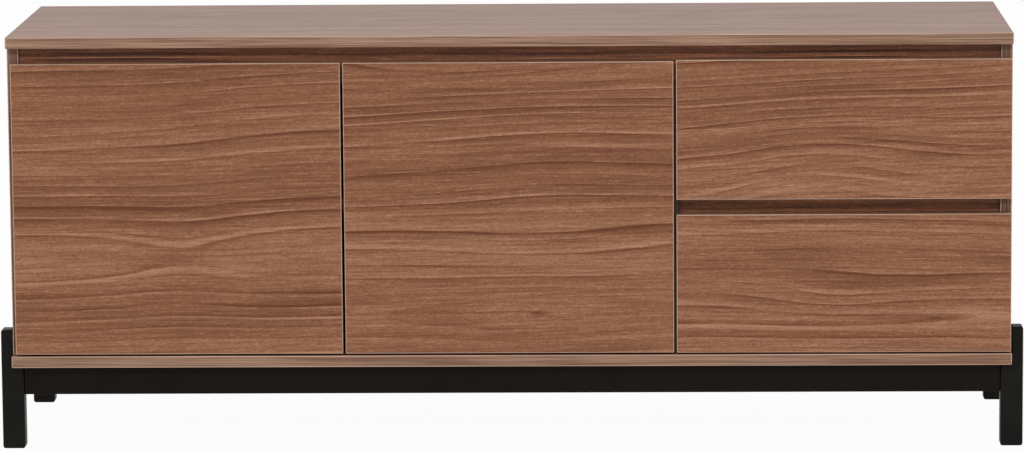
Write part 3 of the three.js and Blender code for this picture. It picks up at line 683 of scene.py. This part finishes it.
# leg frame
legs = {"corner": 4.0 * mm, "cornerSteps": 5, "arris": 2.2 * mm, "lap": 0.2 * mm, "flatArea": 2e-4}
rimAngle = 1.0  # radians; an edge sharper than this is a rim
bottomLow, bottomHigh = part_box("bottom_panel")
lapX, lapZ = bottomHigh.x + legs["lap"], bottomLow.z - legs["lap"]
for end in ("front", "rear"):
    for side, sign in (("left", -1), ("right", 1)):
        node = end + "_" + side + "_leg"
        low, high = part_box(node)
        inner, outer = sorted((abs(low.x), abs(high.x)))
        # the two corners of the lap stay square against the cabinet
        square = ((lapX, lapZ), (inner, lapZ))
        outline = ((inner, low.z), (outer, low.z), (outer, high.z), (lapX, high.z), *square)
        bm = bmesh.new()
        face = bm.faces.new([bm.verts.new((sign * x, low.y, z)) for x, z in outline])
        pushOut(bm, face, (0, high.y - low.y, 0))
        bmesh.ops.recalc_face_normals(bm, faces=bm.faces)
        long = [e for e in bm.edges if abs(e.verts[0].co.y - e.verts[1].co.y) > legs["corner"]]
        soft = [e for e in long if not any(abs(abs(e.verts[0].co.x) - x) < hair
                                           and abs(e.verts[0].co.z - z) < hair for x, z in square)]
        roundEdges(bm, soft, legs["corner"], legs["cornerSteps"])
        rims = [e for e in bm.edges if abs(e.verts[0].co.y - e.verts[1].co.y) < hair
                and len(e.link_faces) == 2 and e.calc_face_angle() > rimAngle]
        roundEdges(bm, rims, legs["arris"], edgeSteps)
        for face in bm.faces:
            face.smooth = face.calc_area() < legs["flatArea"]
        name = end + side.capitalize() + "Leg"
        newPiece(name, bm, [finish["legLacquer"]], "carcass", (node,))

baseRails = {"arris": 1.2 * mm}
for place in ("front", "rear", "left", "right", "cross"):
    node = "base_" + place + "_rail"
    bm = bmesh.new()
    addBlock(bm, *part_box(node))
    for face in roundEdges(bm, bm.edges, baseRails["arris"], edgeSteps):
        face.smooth = True
    newPiece(place + "BaseRail", bm, [finish["blackLacquer"]], "carcass", (node,))
print("leg frame: 4 legs, 5 rails")


# drawer boxes, runners and hinges: merged copies of the solids with their edges broken
solidEdges = {"merge": 1e-6, "flatAngle": math.radians(1), "sharpAngle": math.radians(40)}


def brokenEdges(name, node, material, body, offset, segments):
    bm = bmesh.new()
    bm.from_mesh(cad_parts[node].data)
    bmesh.ops.remove_doubles(bm, verts=bm.verts, dist=solidEdges["merge"])
    bmesh.ops.dissolve_limit(bm, angle_limit=solidEdges["flatAngle"], verts=bm.verts, edges=bm.edges)
    sharp = [e for e in bm.edges if len(e.link_faces) == 2 and e.calc_face_angle() > solidEdges["sharpAngle"]]
    roundEdges(bm, sharp, offset, segments)
    bm.normal_update()
    for face in bm.faces:
        face.smooth = max(abs(n) for n in face.normal) < flatFacing
    newPiece(name, bm, [material], body, (node,))


# small round fittings, made lying on Z and then turned to face outwards
def turnedTo(centre, facing):
    turn = Vector((0, 0, 1)).rotation_difference(Vector(facing)).to_matrix().to_4x4()
    return Matrix.Translation(Vector(centre)) @ turn


# a flat disc standing on the origin, with its upper face
def addDisc(bm, radius, topRadius, height, sides):
    made = bmesh.ops.create_cone(bm, cap_ends=True, segments=sides, radius1=radius, radius2=topRadius,
                                 depth=height, matrix=Matrix.Translation((0, 0, height / 2)))["verts"]
    return made, max({f for v in made for f in v.link_faces}, key=lambda f: f.calc_center_median().z)


screwHead = {"sides": 24, "rim": 0.16, "sunk": 0.55, "drive": 0.34, "betweenArms": (20, 70)}
capShape = {"sides": 32, "roll": 0.5, "rollSteps": 2, "dish": 0.55, "dip": 0.35}


def addScrew(bm, centre, facing, look):
    radius, height = look["radius"], look["height"]
    made, crown = addDisc(bm, radius, radius * look["crown"], height, screwHead["sides"])
    rim = bmesh.ops.inset_region(bm, faces=[crown], thickness=radius * screwHead["rim"])["faces"]
    # the verts between the four arms of the drive are drawn in, and the cross is sunk
    first, last = screwHead["betweenArms"]
    for vert in crown.verts:
        turn = math.degrees(math.atan2(vert.co.y, vert.co.x)) % 90
        if first < turn < last:
            vert.co.xy *= screwHead["drive"]
    sunk = bmesh.ops.extrude_discrete_faces(bm, faces=[crown])["faces"][0]
    bmesh.ops.translate(bm, vec=(0, 0, -height * screwHead["sunk"]), verts=sunk.verts)
    whole = {v for f in rim for v in f.verts} | set(sunk.verts) | set(made)
    bmesh.ops.transform(bm, matrix=turnedTo(centre, facing), verts=list(whole))


def addCap(bm, centre, facing, look):
    radius, height = look["radius"], look["height"]
    made, crown = addDisc(bm, radius, radius, height, capShape["sides"])
    rolled = roundEdges(bm, crown.edges, height * capShape["roll"], capShape["rollSteps"])
    flat = max({f for r in rolled for e in r.edges for f in e.link_faces}, key=lambda f: f.calc_area())
    rim = bmesh.ops.inset_region(bm, faces=[flat], thickness=radius * capShape["dish"])["faces"]
    bmesh.ops.translate(bm, vec=(0, 0, -height * capShape["dip"]), verts=flat.verts)
    whole = {v for f in list(rolled) + list(rim) + [flat] for v in f.verts}
    whole |= {v for v in made if v.is_valid}
    bmesh.ops.transform(bm, matrix=turnedTo(centre, facing), verts=list(whole))


def fittings(name, places, adder, look, material, body):
    bm = bmesh.new()
    for centre, facing in places:
        adder(bm, centre, facing, look)
    newPiece(name, bm, [material], body)


hingeScrew = {"radius": 3.4 * mm, "height": 1.4 * mm, "crown": 0.70}
armScrew = {"radius": 3.0 * mm, "height": 1.6 * mm, "crown": 0.85}
runnerScrew = {"radius": 3.6 * mm, "height": 1.8 * mm, "crown": 0.66}
backScrew = {"radius": 3.5 * mm, "height": 0.9 * mm, "crown": 0.72}
frameScrew = {"radius": 4.2 * mm, "height": 1.8 * mm, "crown": 0.70}
boxCap = {"radius": 7.5 * mm, "height": 1.1 * mm}

# drawer boxes, with the caps of the cam fittings that hold the front
drawerBoxes = {"edge": 0.8 * mm, "edgeSteps": 2, "parts": ("left_side", "right_side", "back", "bottom"),
               "board": 12 * mm, "capFromFront": 34 * mm, "capRises": (42 * mm, 108 * mm)}
for drawer in ("upper", "lower"):
    body = drawer + "_drawer"
    for part in drawerBoxes["parts"]:
        name = drawer + "Drawer" + "".join(w.capitalize() for w in part.split("_"))
        brokenEdges(name, body + "_" + part, finish["paleMelamine"], body,
                    drawerBoxes["edge"], drawerBoxes["edgeSteps"])
    caps = []
    for part, sign in (("_left_side", 1), ("_right_side", -1)):
        low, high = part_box(body + part)
        inside = low.x + drawerBoxes["board"] if sign > 0 else high.x - drawerBoxes["board"]
        for rise in drawerBoxes["capRises"]:
            caps.append(((inside, low.y + drawerBoxes["capFromFront"], low.z + rise), (sign, 0, 0)))
    fittings(drawer + "DrawerCaps", caps, addCap, boxCap, finish["greyPlastic"], body)

# ball-bearing runners
runners = {"edge": 0.3 * mm, "edgeSteps": 1, "sheet": 1.2 * mm,
           "members": {"outer": "carcass", "middle": "_runner_middles", "inner": "_drawer"},
           "screwsAt": (32 * mm, 128 * mm, 290 * mm, 372 * mm)}
for drawer in ("upper", "lower"):
    screws = []
    for side, sign in (("left", -1), ("right", 1)):
        for member, body in runners["members"].items():
            node = drawer + "_drawer_" + side + "_runner_" + member
            name = drawer + side.capitalize() + "Runner" + member.capitalize()
            ridesOn = body if body == "carcass" else drawer + body
            brokenEdges(name, node, finish["zinc"], ridesOn, runners["edge"],
                        runners["edgeSteps"])
        low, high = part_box(drawer + "_drawer_" + side + "_runner_inner")
        web = high.x - runners["sheet"] if sign < 0 else low.x + runners["sheet"]
        middle = (low.z + high.z) / 2
        screws += [((web, low.y + along, middle), (sign, 0, 0)) for along in runners["screwsAt"]]
    fittings(drawer + "RunnerScrews", screws, addScrew, runnerScrew, finish["zinc"], drawer + "_drawer")

# concealed hinges
hinges = {"edge": 0.35 * mm, "edgeSteps": 2, "cupEdge": 0.175 * mm, "cupEdgeSteps": 1, "armBody": 24 * mm,
          "cupScrews": 25.5 * mm, "plateScrews": 17.5 * mm, "armScrews": (10 * mm, 34 * mm)}
for door, sign in (("left", 1), ("right", -1)):
    onDoor = door + "_door"
    for level in ("lower", "upper"):
        stem = onDoor + "_" + level + "_hinge_"
        label = door + level.capitalize() + "Hinge"
        for part, body, edge, steps in (("arm", "carcass", hinges["edge"], hinges["edgeSteps"]),
                                        ("plate", "carcass", hinges["edge"], hinges["edgeSteps"]),
                                        ("cup", onDoor, hinges["cupEdge"], hinges["cupEdgeSteps"])):
            brokenEdges(label + part.capitalize(), stem + part, finish["nickel"], body,
                        edge, steps)
        cupLow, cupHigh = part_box(stem + "cup")
        plateLow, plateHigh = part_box(stem + "plate")
        armLow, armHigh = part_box(stem + "arm")
        middle = (cupLow + cupHigh) / 2
        plateX = plateHigh.x if sign > 0 else plateLow.x
        armX = armHigh.x if sign > 0 else armLow.x
        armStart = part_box(onDoor)[0].y + hinges["armBody"]
        plateLine = armStart + hinges["armScrews"][1]
        cupSpots = [(middle.x, cupHigh.y, middle.z + way * hinges["cupScrews"]) for way in (-1, 1)]
        plateSpots = [(plateX, plateLine, middle.z + way * hinges["plateScrews"]) for way in (-1, 1)]
        armSpots = [(armX, armStart + along, middle.z) for along in hinges["armScrews"]]
        for part, spots, facing, look, body in (("Cup", cupSpots, (0, 1, 0), hingeScrew, onDoor),
                                                ("Plate", plateSpots, (sign, 0, 0), hingeScrew, "carcass"),
                                                ("Arm", armSpots, (sign, 0, 0), armScrew, "carcass")):
            fittings(label + part + "Screws", [(spot, facing) for spot in spots], addScrew, look,
                     finish["nickel"], body)
print("drawer boxes, runners and hinges dressed")

# shelf pins: turned pins with a thin collar against the board
shelfPins = {"collar": 3.6 * mm, "collarThickness": 0.8 * mm, "inHole": 8.85 * mm, "chamfer": 0.6 * mm,
             "steps": 24, "endFacing": 0.9}
collar, chamfer, hole = shelfPins["collar"], shelfPins["chamfer"], shelfPins["inHole"]
collarEnd = hole + shelfPins["collarThickness"]
for end in ("front", "rear"):
    for side, sign in (("left", 1), ("right", -1)):
        node = "shelf_pin_" + end + "_" + side
        low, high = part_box(node)
        length, radius = high.x - low.x, (high.z - low.z) / 2
        profile = ((0, 0), (0, radius - chamfer), (chamfer, radius), (hole, radius), (hole, collar),
                   (collarEnd, collar), (collarEnd, radius), (length - chamfer, radius),
                   (length, radius - chamfer), (length, 0))
        bm = bmesh.new()
        verts = [bm.verts.new((along, 0, out)) for along, out in profile]
        edges = [bm.edges.new(pair) for pair in zip(verts, verts[1:])]
        bmesh.ops.spin(bm, geom=verts + edges, cent=(0, 0, 0), axis=(1, 0, 0), angle=2 * math.pi,
                       steps=shelfPins["steps"], use_merge=True)
        bmesh.ops.remove_doubles(bm, verts=bm.verts, dist=solidEdges["merge"])
        bmesh.ops.scale(bm, vec=(sign, 1, 1), verts=bm.verts)
        start = low.x if sign > 0 else high.x
        bmesh.ops.translate(bm, vec=(start, (low.y + high.y) / 2, (low.z + high.z) / 2), verts=bm.verts)
        for face in bm.faces:
            face.smooth = abs(face.normal.x) < shelfPins["endFacing"]
        newPiece("shelfPin" + end.capitalize() + side.capitalize(), bm, [finish["nickel"]], "carcass",
                 (node,))

# caps over the cam fittings inside the door bay
bayCaps = {"fromEnds": 34 * mm, "fromFront": 62 * mm, "fromRear": 60 * mm}
caps = []
for node, sign in (("left_side_panel", 1), ("bay_divider", -1)):
    low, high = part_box(node)
    inside = high.x if sign > 0 else low.x
    for y in (low.y + bayCaps["fromFront"], high.y - bayCaps["fromRear"]):
        for z in (low.z + bayCaps["fromEnds"], high.z - bayCaps["fromEnds"]):
            caps.append(((inside, y, z), (sign, 0, 0)))
fittings("bayCaps", caps, addCap, boxCap, finish["brownPlastic"], "carcass")

# screws round the back panel and down the divider
backFixing = {"inset": 9 * mm, "across": 9, "down": 4}
low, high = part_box("back_panel")
rows = [low.z + backFixing["inset"], high.z - backFixing["inset"]]
columns = [low.x + backFixing["inset"], (dividerLow.x + dividerHigh.x) / 2, high.x - backFixing["inset"]]
spots = []
for index in range(backFixing["across"]):
    x = columns[0] + (columns[2] - columns[0]) * index / (backFixing["across"] - 1)
    spots += [(x, z) for z in rows]
for index in range(1, backFixing["down"]):
    z = rows[0] + (rows[1] - rows[0]) * index / backFixing["down"]
    spots += [(x, z) for x in columns]
fittings("backScrews", [((x, high.y, z), (0, 1, 0)) for x, z in spots], addScrew, backScrew, finish["zinc"],
         "carcass")

# corner plates that hold the leg frame up against the bottom panel
cornerPlates = {"leg": 62 * mm, "thickness": 2.5 * mm, "gap": 0.4 * mm, "corner": 6 * mm, "cornerSteps": 4,
                "edge": 0.5 * mm, "edgeSteps": 1,
                "screws": ((12 * mm, 12 * mm), (42 * mm, 11 * mm), (11 * mm, 42 * mm))}
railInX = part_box("base_right_rail")[0].x - cornerPlates["gap"]
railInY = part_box("base_rear_rail")[0].y - cornerPlates["gap"]
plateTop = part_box("base_right_rail")[1].z
thickness, reach = cornerPlates["thickness"], cornerPlates["leg"]
under = plateTop - thickness
plates, frameScrews = bmesh.new(), []
for wayX in (-1, 1):
    for wayY in (-1, 1):
        corners = ((0, 0), (reach, 0), (0, reach))
        verts = [plates.verts.new((wayX * (railInX - x), wayY * (railInY - y), under)) for x, y in corners]
        pushOut(plates, plates.faces.new(verts), (0, 0, thickness))
        frameScrews += [((wayX * (railInX - x), wayY * (railInY - y), under), (0, 0, -1))
                        for x, y in cornerPlates["screws"]]
upright = [e for e in plates.edges if abs(e.verts[0].co.z - e.verts[1].co.z) > thickness / 2]
roundEdges(plates, upright, cornerPlates["corner"], cornerPlates["cornerSteps"])
rims = [e for e in plates.edges if len(e.link_faces) == 2 and e.calc_face_angle() > rimAngle]
roundEdges(plates, rims, cornerPlates["edge"], cornerPlates["edgeSteps"])
newPiece("cornerPlates", plates, [finish["blackSteel"]], "carcass")
fittings("frameScrews", frameScrews, addScrew, frameScrew, finish["blackSteel"], "carcass")
print("fittings: pins, caps, screws and corner plates")

# floor, light and camera
studio = {
    "floorSize": 80.0,
    "floorTone": tint(244, 243, 241),
    "floorRoughness": 0.9,
    "floorSpecular": 0.1,
    "floorShow": 0.96,
    "white": (1.0, 1.0, 1.0, 1.0),
    "worldStrength": 0.46,
    "aim": (0, 0, 0.35),
    "lamps": (
        ("keyLamp", (-0.8, -9.8, 5.75), (8.0, 0.6), 490.0),
        ("frontLamp", (0.3, -8.8, 0.60), (3.0, 1.2), 56.0),
        ("rearLamp", (0.6, 4.2, 3.9), (4.0, 1.5), 62.0),
    ),
}
bm = bmesh.new()
bmesh.ops.create_grid(bm, x_segments=4, y_segments=4, size=studio["floorSize"] / 2)
floorMesh = bpy.data.meshes.new("floor")
bm.to_mesh(floorMesh)
bm.free()
floor = bpy.data.objects.new("floor", floorMesh)
bpy.context.scene.collection.objects.link(floor)


def seenDirectly(tree):
    rays = put(tree, "LightPath").outputs
    direct = calc(tree, "ADD", rays["Is Camera Ray"], rays["Is Glossy Ray"])
    return calc(tree, "MINIMUM", calc(tree, "ADD", direct, rays["Is Transmission Ray"]), 1.0)


floorPaint = bpy.data.materials.new("paleFloor")
floorPaint.use_nodes = True
tree = floorPaint.node_tree
paint = tree.nodes["Principled BSDF"]
paint.inputs["Base Color"].default_value = studio["floorTone"]
paint.inputs["Roughness"].default_value = studio["floorRoughness"]
paint.inputs["Specular IOR Level"].default_value = studio["floorSpecular"]
shine = put(tree, "Emission", {"Color": studio["white"], "Strength": 1.0})
share = calc(tree, "MULTIPLY", seenDirectly(tree), studio["floorShow"])
both = put(tree, "MixShader", {0: share, 1: paint.outputs[0], 2: shine.outputs[0]})
plug(tree, tree.nodes["Material Output"].inputs["Surface"], both.outputs[0])
floorMesh.materials.append(floorPaint)

world = bpy.data.worlds.new("studioWorld")
bpy.context.scene.world = world
world.use_nodes = True
tree = world.node_tree
backdrop = tree.nodes["Background"]
backdrop.inputs["Color"].default_value = studio["white"]
dim = studio["worldStrength"]
glow = calc(tree, "MULTIPLY_ADD", seenDirectly(tree), 1.0 - dim, dim)
plug(tree, backdrop.inputs["Strength"], glow)

for name, place, size, power in studio["lamps"]:
    lamp = bpy.data.lights.new(name, "AREA")
    lamp.shape = "RECTANGLE"
    lamp.size, lamp.size_y = size
    lamp.energy = power
    holder = bpy.data.objects.new(name, lamp)
    holder.location = place
    holder.rotation_euler = (Vector(studio["aim"]) - Vector(place)).to_track_quat("-Z", "Y").to_euler()
    holder.visible_camera = False
    holder.visible_glossy = place[1] < 0  # the rear lamp leaves no glare on the top
    bpy.context.scene.collection.objects.link(holder)

# the camera's place and turns are fitted to the straight edges in the photograph
shot = {
    "lens": 180.879,
    "sensor": 36.0,
    "farEnd": 200.0,
    "place": (0.22051, -8.15381, 1.50522),
    "yaw": -0.02735,
    "pitch": 0.14434,
    "roll": -0.00792,
}
forward = Vector((math.sin(shot["yaw"]) * math.cos(shot["pitch"]),
                  math.cos(shot["yaw"]) * math.cos(shot["pitch"]), -math.sin(shot["pitch"])))
sideways = Vector((math.cos(shot["yaw"]), -math.sin(shot["yaw"]), 0))
lift = sideways.cross(forward)
right = math.cos(shot["roll"]) * sideways + math.sin(shot["roll"]) * lift
up = math.cos(shot["roll"]) * lift - math.sin(shot["roll"]) * sideways
lens = bpy.data.cameras.new("photoCamera")
lens.sensor_fit = "HORIZONTAL"
lens.sensor_width = shot["sensor"]
lens.lens = shot["lens"]
lens.clip_end = shot["farEnd"]
camera = bpy.data.objects.new("photoCamera", lens)
turn = Matrix((right, up, -forward)).transposed().to_4x4()
camera.matrix_world = Matrix.Translation(Vector(shot["place"])) @ turn
bpy.context.scene.collection.objects.link(camera)
bpy.context.scene.camera = camera
bpy.context.scene.view_settings.view_transform = "Standard"
print("studio ready")

bpy.context.view_layer.update()
